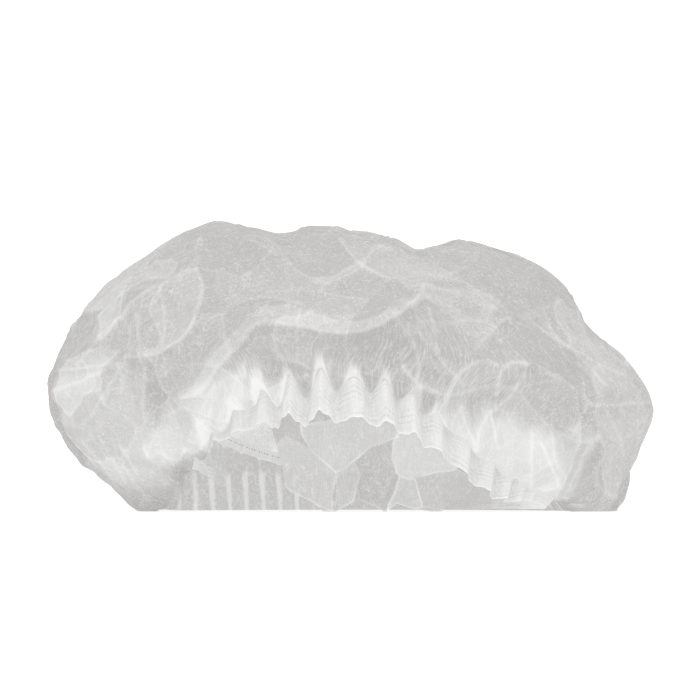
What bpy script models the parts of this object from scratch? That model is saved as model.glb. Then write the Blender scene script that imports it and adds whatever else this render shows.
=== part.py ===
"""Disposable hair cover cap, set down on a surface with the front of its gathered hem lifted.

Units are metres and +Z is up. The cap's front faces -Y, and the origin is the middle of its
bounding box on the surface that it rests on.
"""

import math
from collections import namedtuple

import bmesh
import bpy
import numpy as np

# Driving sizes of the puffed cap
CAP_WIDTH = 0.312
CAP_DEPTH = 0.270
CAP_HEIGHT = 0.148
CROWN_WALL = 0.0011

# The opening at the elastic line, how far out it lies from the middle as shares of the half width
# (right, left) or the half depth (front, rear), and how high it lies
OPENING_RIGHT = 0.68
OPENING_LEFT = 0.615
OPENING_FRONT = 0.895
OPENING_REAR = 0.71
HEM_HEIGHT_RIGHT = 0.013
HEM_HEIGHT_LEFT = 0.048
HEM_HEIGHT_FRONT = 0.068
HEM_HEIGHT_REAR = 0.019

# The gathers that the elastic draws in the cloth
PLEATS = 48
PLEAT_DEPTH = 0.0034
PLEAT_RISE = 0.0042
GATHER_REACH_FRONT = 0.62
GATHER_REACH_REAR = 0.30

# The pleated edge beyond the elastic
FRILL_WIDTH = 0.021
FRILL_WALL = 0.0010
FRILL_EDGE_DEPTH = 0.0056
FLOOR_CLEARANCE = 0.0004

# The elastic ring
ELASTIC_WIDTH = 0.005
ELASTIC_THICKNESS = 0.0012

# The tucked-in cloth under the lifted front
FOLD_WALL = 0.0010
FOLD_START_DEG = 246.0
FOLD_END_DEG = 318.0
FOLD_SETBACK = 0.020
FOLD_DEPTH = 0.0060
FOLD_WAVES = 4.5
FOLD_WAVE_DRIFT = 0.12

# How the crown's folds are laid on: the height that they push away from as a share of the cap's height,
# the share of facing at which they reach their full height, and the share of the way down that they
# leave still above the elastic
FOLD_CENTRE = 0.38
FULL_FACING = 0.35
STILL_SHARE = 0.12

# The gap that neighbouring pieces keep
PIECE_GAP = 0.0003
RIM_GAP = 0.0007

# How finely the cloth is faceted
COLUMNS = 2 * PLEATS
CROWN_ROWS = 19
FRILL_ROWS = 3
FOLD_COLUMNS = 30
FOLD_ROWS = 5

HALF_WIDTH = CAP_WIDTH / 2
HALF_DEPTH = CAP_DEPTH / 2
CROWN_CENTRE = np.array((0.0, 0.0, FOLD_CENTRE * CAP_HEIGHT))

# The crown's four sections, one row for each station from the top down to the tuck above the hem.
# Out is a share of the half width (right, left) or half depth (front, rear), and up of the height.
Station = namedtuple(
    "Station", "name right_out right_up left_out left_up front_out front_up rear_out rear_up"
)
STATIONS = (
    Station("top", 0.00, 0.985, 0.00, 0.985, 0.00, 0.985, 0.00, 0.985),
    Station("brow", 0.15, 0.950, 0.13, 0.990, 0.20, 0.965, 0.20, 0.960),
    Station("crest", 0.41, 0.932, 0.49, 0.985, 0.44, 0.915, 0.45, 0.900),
    Station("shoulder", 0.64, 0.840, 0.685, 0.880, 0.66, 0.825, 0.68, 0.790),
    Station("high_side", 0.80, 0.665, 0.855, 0.740, 0.845, 0.735, 0.86, 0.640),
    Station("side", 0.92, 0.515, 0.970, 0.550, 0.950, 0.665, 0.965, 0.480),
    Station("belly", 1.00, 0.360, 1.00, 0.390, 0.995, 0.600, 1.00, 0.320),
    Station("low_side", 0.94, 0.180, 0.930, 0.215, 0.990, 0.540, 0.965, 0.165),
    Station("foot", 0.87, 0.000, 0.790, 0.095, 0.965, 0.495, 0.880, 0.000),
    Station("tuck", 0.76, -0.020, 0.660, 0.020, 0.930, 0.466, 0.800, -0.020),
)

# Folds of the crown: the side that they are seen on, their route as shares of the half width (or half
# depth) and of the height, their half width as a share of the half width, their height as a share of
# the cap's height. A negative height is a dent.
Fold = namedtuple("Fold", "name side route half_width height")
FOLDS = (
    Fold(
        "ribbon",
        "front",
        ((-0.53, 0.40), (-0.45, 0.51), (-0.35, 0.64), (-0.25, 0.69), (-0.06, 0.63), (0.07, 0.65), (0.23, 0.76)),
        0.046,
        0.042,
    ),
    Fold("below_ribbon", "front", ((-0.36, 0.52), (-0.20, 0.56), (0.00, 0.52), (0.14, 0.54)), 0.070, -0.030),
    Fold("left_ridge", "front", ((-0.48, 0.98), (-0.50, 0.91), (-0.54, 0.80), (-0.66, 0.71)), 0.044, 0.030),
    Fold("left_panel", "front", ((-0.54, 0.80), (-0.49, 0.68), (-0.55, 0.54), (-0.66, 0.44)), 0.040, 0.026),
    Fold("left_crease", "front", ((-0.61, 0.74), (-0.61, 0.40)), 0.034, -0.026),
    Fold("left_drop", "front", ((-0.685, 0.64), (-0.66, 0.22)), 0.036, 0.028),
    Fold("lobe_upper", "front", ((-0.745, 0.50), (-0.95, 0.41)), 0.034, 0.020),
    Fold("lobe_middle", "front", ((-0.745, 0.50), (-0.91, 0.30)), 0.034, 0.020),
    Fold("lobe_lower", "front", ((-0.745, 0.50), (-0.83, 0.23)), 0.034, 0.020),
    Fold("crown_dent", "front", ((0.02, 0.84), (0.20, 0.82)), 0.100, -0.030),
    Fold("right_drop", "front", ((0.23, 0.76), (0.265, 0.69), (0.25, 0.59), (0.315, 0.45)), 0.040, 0.030),
    Fold("right_slope", "front", ((0.36, 0.92), (0.50, 0.74), (0.68, 0.46)), 0.046, 0.030),
    Fold("shoulder_dent", "front", ((0.66, 0.66), (0.78, 0.50)), 0.070, -0.036),
    Fold("first_arc", "front", ((0.285, 0.42), (0.35, 0.50), (0.39, 0.53), (0.45, 0.52)), 0.034, 0.022),
    Fold("second_arc", "front", ((0.457, 0.47), (0.556, 0.52), (0.606, 0.49), (0.70, 0.42)), 0.034, 0.022),
    Fold("right_crease", "front", ((0.745, 0.36), (1.00, 0.375)), 0.036, -0.026),
    Fold("right_hollow", "front", ((0.45, 0.38), (0.66, 0.36)), 0.060, -0.026),
    Fold("rear_left", "rear", ((-0.40, 0.90), (-0.52, 0.60), (-0.60, 0.22)), 0.056, 0.040),
    Fold("rear_middle", "rear", ((0.02, 0.88), (-0.08, 0.52), (0.00, 0.20)), 0.052, 0.038),
    Fold("rear_right", "rear", ((0.36, 0.88), (0.44, 0.56), (0.58, 0.22)), 0.056, 0.040),
    Fold("rear_dent", "rear", ((-0.24, 0.62), (-0.28, 0.30)), 0.095, -0.050),
    Fold("rear_hollow", "rear", ((0.22, 0.66), (0.28, 0.32)), 0.095, -0.046),
    Fold("left_flank", "left", ((-0.30, 0.76), (-0.10, 0.45), (-0.16, 0.20)), 0.056, -0.036),
    Fold("left_back", "left", ((0.40, 0.80), (0.46, 0.48), (0.36, 0.18)), 0.052, 0.036),
    Fold("right_flank", "right", ((-0.24, 0.76), (-0.06, 0.42), (0.02, 0.18)), 0.056, -0.036),
    Fold("right_back", "right", ((0.42, 0.80), (0.40, 0.46), (0.50, 0.18)), 0.052, 0.036),
    Fold("top_ridge", "top", ((-0.46, -0.50), (-0.44, 0.05), (-0.40, 0.60)), 0.056, 0.020),
    Fold("top_dent", "top", ((0.20, -0.56), (0.24, -0.05), (0.20, 0.52)), 0.070, -0.040),
    Fold("top_hollow", "top", ((-0.22, -0.42), (-0.25, 0.44)), 0.056, -0.024),
)

# The frill's lean from the elastic line to its free edge, as shares of its width
FrillLean = namedtuple("FrillLean", "side out down")
FRILL_LEANS = (
    FrillLean("right", -0.60, 0.56),
    FrillLean("left", -0.30, 0.90),
    FrillLean("front", 0.24, 0.90),
    FrillLean("rear", -0.12, 0.87),
)

# How far the hem sags at each front corner, as a share of the cap's height, with the direction that it is
# deepest in. The sag starts at this share of the way down.
HemSag = namedtuple("HemSag", "corner direction_deg half_width_deg depth")
HEM_SAGS = (
    HemSag("right_front", 308.0, 22.0, 0.142),
    HemSag("left_front", 212.0, 26.0, 0.068),
)
SAG_START = 0.50


def side_weights(azimuth):
    """How much of the right, left, front and rear sections there is in each direction."""
    across = np.cos(azimuth)
    along = np.sin(azimuth)
    return np.stack(
        (
            np.maximum(across, 0) ** 2,
            np.maximum(-across, 0) ** 2,
            np.maximum(-along, 0) ** 2,
            np.maximum(along, 0) ** 2,
        ),
        axis=-1,
    )


def smooth_step(values):
    """0 below 0, 1 above 1 and a smooth rise between."""
    held = np.clip(values, 0, 1)
    return held * held * (3 - 2 * held)


def through_points(points, place):
    """A Catmull-Rom curve through the rows of points, read at place, counted in rows."""
    last = len(points) - 1
    start = np.clip(np.floor(place).astype(int), 0, last - 1)
    share = (place - start)[..., None, None]
    before = points[np.maximum(start - 1, 0)]
    here = points[start]
    there = points[start + 1]
    after = points[np.minimum(start + 2, last)]
    return 0.5 * (
        2 * here
        + (there - before) * share
        + (2 * before - 5 * here + 4 * there - after) * share**2
        + (3 * here - before - 3 * there + after) * share**3
    )


def section_points():
    """The sections as (station, side, out and up) in metres, with the hem as the last station."""
    reach = (HALF_WIDTH, HALF_WIDTH, HALF_DEPTH, HALF_DEPTH)
    rows = []
    for station in STATIONS:
        shares = station[1:]
        rows.append(
            [(shares[2 * k] * reach[k], shares[2 * k + 1] * CAP_HEIGHT) for k in range(4)]
        )
    rows.append(
        [
            (OPENING_RIGHT * HALF_WIDTH, HEM_HEIGHT_RIGHT),
            (OPENING_LEFT * HALF_WIDTH, HEM_HEIGHT_LEFT),
            (OPENING_FRONT * HALF_DEPTH, HEM_HEIGHT_FRONT),
            (OPENING_REAR * HALF_DEPTH, HEM_HEIGHT_REAR),
        ]
    )
    return np.array(rows)


def hem_sag(azimuth):
    """How far below its plain height the elastic line hangs in each direction, in metres."""
    depth = np.zeros(np.shape(azimuth))
    for sag in HEM_SAGS:
        turn = np.angle(np.exp(1j * (azimuth - math.radians(sag.direction_deg))))
        depth = depth + sag.depth * CAP_HEIGHT * np.exp(-((turn / math.radians(sag.half_width_deg)) ** 2))
    return depth


def pleat_wave(azimuth):
    """1 on the crest of a pleat and -1 in the valley beside it."""
    return np.cos(PLEATS * azimuth)


def seen_from(side, points):
    """The points as a viewer of that side sees them, as shares, and how squarely they face the viewer."""
    x, y, z = points[..., 0], points[..., 1], points[..., 2]
    views = {
        "front": (x / HALF_WIDTH, z / CAP_HEIGHT, -y / HALF_DEPTH),
        "rear": (x / HALF_WIDTH, z / CAP_HEIGHT, y / HALF_DEPTH),
        "left": (y / HALF_DEPTH, z / CAP_HEIGHT, -x / HALF_WIDTH),
        "right": (y / HALF_DEPTH, z / CAP_HEIGHT, x / HALF_WIDTH),
        "top": (x / HALF_WIDTH, y / HALF_DEPTH, 2 * z / CAP_HEIGHT - 1),
    }
    across, up, facing = views[side]
    return across, up, smooth_step(facing / FULL_FACING)


def distance_to_route(across, up, route, up_scale):
    """The distance to the nearest leg of the route, in shares of the half width."""
    nearest = np.full(across.shape, np.inf)
    for (x0, y0), (x1, y1) in zip(route, route[1:]):
        leg = np.array((x1 - x0, (y1 - y0) * up_scale))
        to_x = across - x0
        to_y = (up - y0) * up_scale
        along = np.clip((to_x * leg[0] + to_y * leg[1]) / (leg @ leg), 0, 1)
        nearest = np.minimum(nearest, np.hypot(to_x - along * leg[0], to_y - along * leg[1]))
    return nearest


def fold_heights(points):
    """How far the folds and dents push the cloth out at each point, in metres."""
    ridges = np.zeros(points.shape[:-1])
    dents = np.zeros(points.shape[:-1])
    for fold in FOLDS:
        across, up, facing = seen_from(fold.side, points)
        up_scale = (HALF_DEPTH if fold.side == "top" else CAP_HEIGHT) / HALF_WIDTH
        distance = distance_to_route(across, up, fold.route, up_scale)
        bell = np.exp(-((distance / fold.half_width) ** 2))
        push = facing * bell * fold.height * CAP_HEIGHT
        ridges = np.maximum(ridges, push)
        dents = np.minimum(dents, push)
    return ridges + dents


def crown_points(azimuth, level):
    """The crown's outer face. level runs from 0 at the top to 1 at the elastic line."""
    sections = section_points()
    place = level * (len(sections) - 1)
    out_up = through_points(sections, place)
    weights = side_weights(azimuth)
    out = (weights * out_up[..., 0]).sum(axis=-1)
    up = (weights * out_up[..., 1]).sum(axis=-1)
    up = up - hem_sag(azimuth) * smooth_step((level - SAG_START) / (1 - SAG_START))

    front = weights[..., 2]
    reach = GATHER_REACH_REAR + (GATHER_REACH_FRONT - GATHER_REACH_REAR) * front
    gather = smooth_step((level - 1 + reach) / reach)
    out = out + PLEAT_DEPTH * pleat_wave(azimuth) * gather
    up = up + PLEAT_RISE * pleat_wave(azimuth) * gather * front
    points = np.stack((out * np.cos(azimuth), out * np.sin(azimuth), up), axis=-1)

    outward = points - CROWN_CENTRE
    outward /= np.linalg.norm(outward, axis=-1, keepdims=True)
    still = smooth_step((1 - level) / STILL_SHARE)
    points = points + outward * (fold_heights(points) * still)[..., None]
    points[..., 2] = np.maximum(points[..., 2], 0)
    return points


def hem_ring(azimuth, inset=0.0, lift=0.0):
    """Points on the smooth elastic line, moved in towards the middle and up."""
    weights = side_weights(azimuth)
    hem = section_points()[-1]
    out = weights @ hem[:, 0] - inset
    up = weights @ hem[:, 1] - hem_sag(azimuth) + lift
    return np.stack((out * np.cos(azimuth), out * np.sin(azimuth), up), axis=-1)


def frill_points(azimuth, drop):
    """The frill's outer face. drop runs from 0 just below the elastic line to 1 at the free edge."""
    weights = side_weights(azimuth)
    leans = np.array([(lean.out, lean.down) for lean in FRILL_LEANS]) * FRILL_WIDTH
    lean = weights @ leans
    wave = pleat_wave(azimuth)
    swing = PLEAT_DEPTH + (FRILL_EDGE_DEPTH - PLEAT_DEPTH) * drop
    ring = hem_ring(azimuth, inset=RIM_GAP, lift=-RIM_GAP)
    out = np.hypot(ring[..., 0], ring[..., 1]) + lean[..., 0] * drop + swing * wave
    up = ring[..., 2] - lean[..., 1] * drop + PLEAT_RISE * wave * weights[..., 2]
    up = np.maximum(up, FLOOR_CLEARANCE)
    return np.stack((out * np.cos(azimuth), out * np.sin(azimuth), up), axis=-1)


def cloth_object(name, rows, wall, closed_round, capped):
    """A sheet through rows of points, given its wall by a Solidify modifier on the side away from its face."""
    mesh = bpy.data.meshes.new(name)
    sheet = bmesh.new()
    first = 1 if capped else 0
    rings = [[sheet.verts.new(point) for point in row] for row in rows[first:]]
    count = len(rings[0])
    spans = count if closed_round else count - 1
    if capped:
        top = sheet.verts.new(rows[0][0])
        for k in range(spans):
            sheet.faces.new((top, rings[0][k], rings[0][(k + 1) % count]))
    for upper, lower in zip(rings, rings[1:]):
        for k in range(spans):
            after = (k + 1) % count
            sheet.faces.new((upper[k], lower[k], lower[after], upper[after]))
    bmesh.ops.triangulate(sheet, faces=sheet.faces[:], quad_method="SHORT_EDGE")
    sheet.to_mesh(mesh)
    sheet.free()
    mesh.shade_smooth()
    item = bpy.data.objects.new(name, mesh)
    bpy.context.scene.collection.objects.link(item)
    walls = item.modifiers.new("wall", "SOLIDIFY")
    walls.thickness = wall
    walls.offset = -1.0
    return item


def make_crown():
    """The puffed body of the cap, open at the elastic line."""
    azimuth = np.arange(COLUMNS) * 2 * math.pi / COLUMNS
    rows = [crown_points(azimuth, np.full(COLUMNS, k / CROWN_ROWS)) for k in range(CROWN_ROWS + 1)]
    return cloth_object("crown", rows, CROWN_WALL, closed_round=True, capped=True)


def make_frill():
    """The pleated edge below the elastic line, its wall on the side of the opening."""
    count = 2 * COLUMNS
    azimuth = np.arange(count) * 2 * math.pi / count
    rows = [frill_points(azimuth, k / FRILL_ROWS) for k in range(FRILL_ROWS + 1)]
    return cloth_object("frill", rows, FRILL_WALL, closed_round=True, capped=False)


def make_elastic():
    """The elastic ring inside the hem, just above the frill."""
    azimuth = np.arange(COLUMNS) * 2 * math.pi / COLUMNS
    inset = PLEAT_DEPTH + CROWN_WALL + PIECE_GAP
    low = PIECE_GAP
    high = low + ELASTIC_WIDTH
    rows = [hem_ring(azimuth, inset, high), hem_ring(azimuth, inset, low)]
    return cloth_object("elastic_band", rows, ELASTIC_THICKNESS, closed_round=True, capped=False)


def make_inner_fold():
    """The tucked-in front cloth, hanging from just below the elastic down to the surface."""
    start = math.radians(FOLD_START_DEG)
    end = math.radians(FOLD_END_DEG)
    azimuth = np.linspace(start, end, FOLD_COLUMNS + 1)
    inset = PLEAT_DEPTH + CROWN_WALL + 2 * PIECE_GAP + ELASTIC_THICKNESS / 2
    top = hem_ring(azimuth, inset, lift=-PIECE_GAP)
    share = np.linspace(0, 1, FOLD_COLUMNS + 1)
    wave = np.sin(2 * math.pi * (FOLD_WAVES * share + FOLD_WAVE_DRIFT * np.sin(2 * math.pi * share)))
    rows = []
    for k in range(FOLD_ROWS + 1):
        drop = k / FOLD_ROWS
        inward = FOLD_SETBACK * smooth_step(drop) + FOLD_DEPTH * (1 - wave) * drop
        row = top.copy()
        row[:, 0] -= inward * np.cos(azimuth)
        row[:, 1] -= inward * np.sin(azimuth)
        row[:, 2] = top[:, 2] + (FLOOR_CLEARANCE - top[:, 2]) * drop
        rows.append(row)
    return cloth_object("inner_fold", rows, FOLD_WALL, closed_round=False, capped=False)


def finish(name, colour, roughness):
    """A plain material for one piece."""
    material = bpy.data.materials.new(name)
    material.use_nodes = True
    shader = material.node_tree.nodes["Principled BSDF"]
    shader.inputs["Base Color"].default_value = (*colour, 1.0)
    shader.inputs["Roughness"].default_value = roughness
    shader.inputs["Metallic"].default_value = 0.0
    return material


def stand_on_origin(items):
    """Moves the whole cap, by its parent, so that the origin is the middle of its underside."""
    graph = bpy.context.evaluated_depsgraph_get()
    corners = []
    for item in items:
        mesh = item.evaluated_get(graph).to_mesh()
        corners.extend(tuple(vertex.co) for vertex in mesh.vertices)
    corners = np.array(corners)
    low = corners.min(axis=0)
    high = corners.max(axis=0)
    base = bpy.data.objects.new("cap_base", None)
    bpy.context.scene.collection.objects.link(base)
    base.location = (-(low[0] + high[0]) / 2, -(low[1] + high[1]) / 2, -low[2])
    for item in items:
        item.parent = base


def main():
    for item in list(bpy.data.objects):
        bpy.data.objects.remove(item, do_unlink=True)
    crown = make_crown()
    crown.data.materials.append(finish("nonwoven_crown", (0.60, 0.595, 0.59), 0.85))
    frill = make_frill()
    frill.data.materials.append(finish("nonwoven_frill", (0.76, 0.755, 0.75), 0.85))
    elastic = make_elastic()
    elastic.data.materials.append(finish("white_elastic", (0.70, 0.69, 0.67), 0.6))
    inner_fold = make_inner_fold()
    inner_fold.data.materials.append(finish("nonwoven_inner", (0.66, 0.655, 0.65), 0.85))
    bpy.context.view_layer.update()
    stand_on_origin((crown, frill, elastic, inner_fold))


main()
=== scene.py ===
"""The looks of the disposable hair cover cap: thin see-through nonwoven cloth, puffed and crumpled,
gathered into pleats by an elastic hem whose front is lifted.

Lengths are in metres, +Z is up and the front of the cap faces -Y. Routes of folds are given as
shares: across is a share of the half width, and up is a share of the height.
"""

import logging
import math
from dataclasses import dataclass
from enum import Enum
from typing import Any, Iterable, Sequence

import bpy
import numpy as np
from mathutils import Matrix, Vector, noise


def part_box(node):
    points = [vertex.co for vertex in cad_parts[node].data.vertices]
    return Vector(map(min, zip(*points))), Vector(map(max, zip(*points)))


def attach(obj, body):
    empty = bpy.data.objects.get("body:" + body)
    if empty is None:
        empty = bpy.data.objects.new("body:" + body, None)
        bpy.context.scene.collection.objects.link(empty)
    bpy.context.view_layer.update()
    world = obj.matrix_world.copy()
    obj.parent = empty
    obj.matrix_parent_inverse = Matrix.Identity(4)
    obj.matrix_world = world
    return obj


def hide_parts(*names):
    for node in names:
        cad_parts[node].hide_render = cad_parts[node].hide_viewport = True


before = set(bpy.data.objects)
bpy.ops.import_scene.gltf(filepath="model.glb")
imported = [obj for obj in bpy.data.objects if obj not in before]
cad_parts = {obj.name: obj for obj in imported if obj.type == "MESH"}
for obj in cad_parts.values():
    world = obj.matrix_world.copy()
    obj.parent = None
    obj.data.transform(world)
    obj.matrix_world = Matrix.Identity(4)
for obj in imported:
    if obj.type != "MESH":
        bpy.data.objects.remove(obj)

LOG = logging.getLogger("hair_cover")
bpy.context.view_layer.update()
TURN = 2 * math.pi
CHANCE_SEED = 3
# The most density that doubled cloth adds where stretches overlap
DOUBLED_LIMIT = 0.62
# The cloth's way round the cap, in metres a radian, that the drawn fibres are laid along
AROUND = 0.12


class Side(Enum):
    """The side that a fold is seen on."""

    FRONT = "front"
    REAR = "rear"
    LEFT = "left"
    RIGHT = "right"
    TOP = "top"


class Held(Enum):
    GATHERED = "gathered"
    DRAPED = "draped"


def smooth_step(values: np.ndarray) -> np.ndarray:
    """0 below 0, 1 above 1 and a smooth rise between."""
    held = np.clip(values, 0, 1)
    return held * held * (3 - 2 * held)


def through_points(points: np.ndarray, place: np.ndarray) -> np.ndarray:
    """A Catmull-Rom curve through the rows of points.

    Args:
        points: rows of values to pass through.
        place: where to read the curve, counted in rows.

    Returns:
        The values at each place.
    """
    last = len(points) - 1
    start = np.clip(np.floor(place).astype(int), 0, last - 1)
    share = (place - start).reshape(place.shape + (1,) * (points.ndim - 1))
    before = points[np.maximum(start - 1, 0)]
    here = points[start]
    there = points[start + 1]
    after = points[np.minimum(start + 2, last)]
    return 0.5 * (
        2 * here
        + (there - before) * share
        + (2 * before - 5 * here + 4 * there - after) * share**2
        + (3 * here - before - 3 * there + after) * share**3
    )


def distance_to_route(across: np.ndarray, up: np.ndarray, route: Sequence) -> np.ndarray:
    """The distance from each point to the nearest leg of a route in the same plane."""
    nearest = np.full(across.shape, np.inf)
    for (x0, y0), (x1, y1) in zip(route, route[1:]):
        leg_x, leg_y = x1 - x0, y1 - y0
        to_x, to_y = across - x0, up - y0
        along = np.clip((to_x * leg_x + to_y * leg_y) / (leg_x**2 + leg_y**2), 0, 1)
        nearest = np.minimum(nearest, np.hypot(to_x - along * leg_x, to_y - along * leg_y))
    return nearest


def rounded_route(route: Sequence, steps: int = 5) -> list:
    """The same route with its corners rounded by a curve through its points."""
    points = np.array(route, float)
    if len(points) < 3:
        return [tuple(point) for point in points]
    place = np.linspace(0, len(points) - 1, (len(points) - 1) * steps + 1)
    return [tuple(point) for point in through_points(points, place)]


@dataclass(frozen=True)
class Fold:
    """A soft fold or dent of the crown, with its half width and height in shares."""

    side: Side
    route: tuple
    half_width: float
    height: float


@dataclass(frozen=True)
class Crease:
    """A sharp raised line in the cloth of the front, whitened partly by doubling and partly by a painted
    highlight along the fold.
    """

    route: tuple
    width: float
    lift: float
    white: float


# The folds and dents that the solids have too
SOFT_FOLDS = (
    Fold(
        Side.FRONT,
        (
            (-0.53, 0.40), (-0.45, 0.51), (-0.35, 0.64), (-0.25, 0.69), (-0.06, 0.63), (0.07, 0.65),
            (0.23, 0.76),
        ),
        0.046,
        0.042,
    ),
    Fold(Side.FRONT, ((-0.36, 0.52), (-0.20, 0.56), (0.00, 0.52), (0.14, 0.54)), 0.070, -0.030),
    Fold(Side.FRONT, ((-0.48, 0.98), (-0.50, 0.91), (-0.54, 0.80), (-0.66, 0.71)), 0.044, 0.030),
    Fold(Side.FRONT, ((-0.54, 0.80), (-0.49, 0.68), (-0.55, 0.54), (-0.66, 0.44)), 0.040, 0.026),
    Fold(Side.FRONT, ((-0.61, 0.74), (-0.61, 0.40)), 0.034, -0.026),
    Fold(Side.FRONT, ((-0.685, 0.64), (-0.66, 0.22)), 0.036, 0.028),
    Fold(Side.FRONT, ((-0.745, 0.50), (-0.95, 0.41)), 0.034, 0.020),
    Fold(Side.FRONT, ((-0.745, 0.50), (-0.91, 0.30)), 0.034, 0.020),
    Fold(Side.FRONT, ((-0.745, 0.50), (-0.83, 0.23)), 0.034, 0.020),
    Fold(Side.FRONT, ((0.02, 0.84), (0.20, 0.82)), 0.100, -0.030),
    Fold(Side.FRONT, ((0.23, 0.76), (0.265, 0.69), (0.25, 0.59), (0.315, 0.45)), 0.040, 0.030),
    Fold(Side.FRONT, ((0.36, 0.92), (0.50, 0.74), (0.68, 0.46)), 0.046, 0.030),
    Fold(Side.FRONT, ((0.66, 0.66), (0.78, 0.50)), 0.070, -0.036),
    Fold(Side.FRONT, ((0.285, 0.42), (0.35, 0.50), (0.39, 0.53), (0.45, 0.52)), 0.034, 0.022),
    Fold(Side.FRONT, ((0.457, 0.47), (0.556, 0.52), (0.606, 0.49), (0.70, 0.42)), 0.034, 0.022),
    Fold(Side.FRONT, ((0.745, 0.36), (1.00, 0.375)), 0.036, -0.026),
    Fold(Side.FRONT, ((0.45, 0.38), (0.66, 0.36)), 0.060, -0.026),
    Fold(Side.REAR, ((-0.40, 0.90), (-0.52, 0.60), (-0.60, 0.22)), 0.056, 0.040),
    Fold(Side.REAR, ((0.02, 0.88), (-0.08, 0.52), (0.00, 0.20)), 0.052, 0.038),
    Fold(Side.REAR, ((0.36, 0.88), (0.44, 0.56), (0.58, 0.22)), 0.056, 0.040),
    Fold(Side.REAR, ((-0.24, 0.62), (-0.28, 0.30)), 0.095, -0.050),
    Fold(Side.REAR, ((0.22, 0.66), (0.28, 0.32)), 0.095, -0.046),
    Fold(Side.LEFT, ((-0.30, 0.76), (-0.10, 0.45), (-0.16, 0.20)), 0.056, -0.036),
    Fold(Side.LEFT, ((0.40, 0.80), (0.46, 0.48), (0.36, 0.18)), 0.052, 0.036),
    Fold(Side.RIGHT, ((-0.24, 0.76), (-0.06, 0.42), (0.02, 0.18)), 0.056, -0.036),
    Fold(Side.RIGHT, ((0.42, 0.80), (0.40, 0.46), (0.50, 0.18)), 0.052, 0.036),
    Fold(Side.TOP, ((-0.46, -0.50), (-0.44, 0.05), (-0.40, 0.60)), 0.056, 0.020),
    Fold(Side.TOP, ((0.20, -0.56), (0.24, -0.05), (0.20, 0.52)), 0.070, -0.040),
    Fold(Side.TOP, ((-0.22, -0.42), (-0.25, 0.44)), 0.056, -0.024),
)

# A shallow dent of the right shoulder that the solids haven't got
SHOULDER_DENT = Fold(Side.RIGHT, ((-0.60, 0.66), (0.00, 0.64), (0.60, 0.66)), 0.080, -0.034)
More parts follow.
